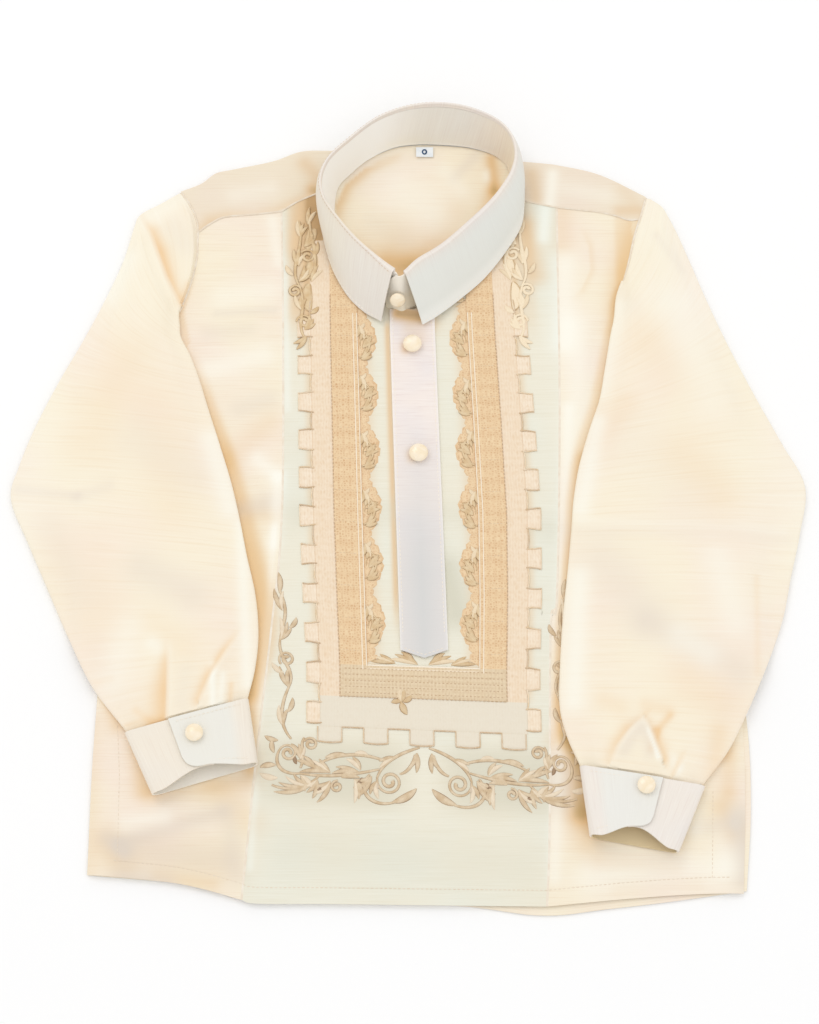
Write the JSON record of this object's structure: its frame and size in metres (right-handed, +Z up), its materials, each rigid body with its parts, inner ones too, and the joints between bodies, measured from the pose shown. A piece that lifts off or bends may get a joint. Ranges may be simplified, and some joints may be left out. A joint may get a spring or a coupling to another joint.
{
  "type": "barong tagalog shirt",
  "caption": "Child's long-sleeved embroidered shirt with folded collar, half placket and buttoned cuffs, laid flat with the sleeves folded in over the front.",
  "frame": {"origin": "on the flat underside of the back panel, below the middle of the shirt", "axes": "+Z up from the surface the shirt lies on, +Y from the hem towards the collar, +X to the right of the laid shirt"},
  "size_m": [0.4372, 0.4678, 0.0258],
  "materials": {
    "body": "fine slubbed plain weave, soft sheen",
    "sheer": "sheer slubbed weave with raised embroidery",
    "collar": "interlined slubbed weave, matt",
    "sleeve": "fine slubbed plain weave, soft sheen",
    "pearl": "moulded pearl lustre",
    "label": "woven tape"
  },
  "bodies": {
    "root": {"back_panel": "body", "yoke": "body", "front_side_left": "body", "front_centre": "sheer", "front_side_right": "body", "placket": "collar", "collar_stand": "collar", "collar_fall": "collar", "sleeve_left": "sleeve", "sleeve_right": "sleeve", "cuff_left": "collar", "cuff_right": "collar", "button_collar": "pearl", "button_placket_1": "pearl", "button_placket_2": "pearl", "button_cuff_left": "pearl", "button_cuff_right": "pearl", "size_label": "label"}
  },
  "joints": []
}
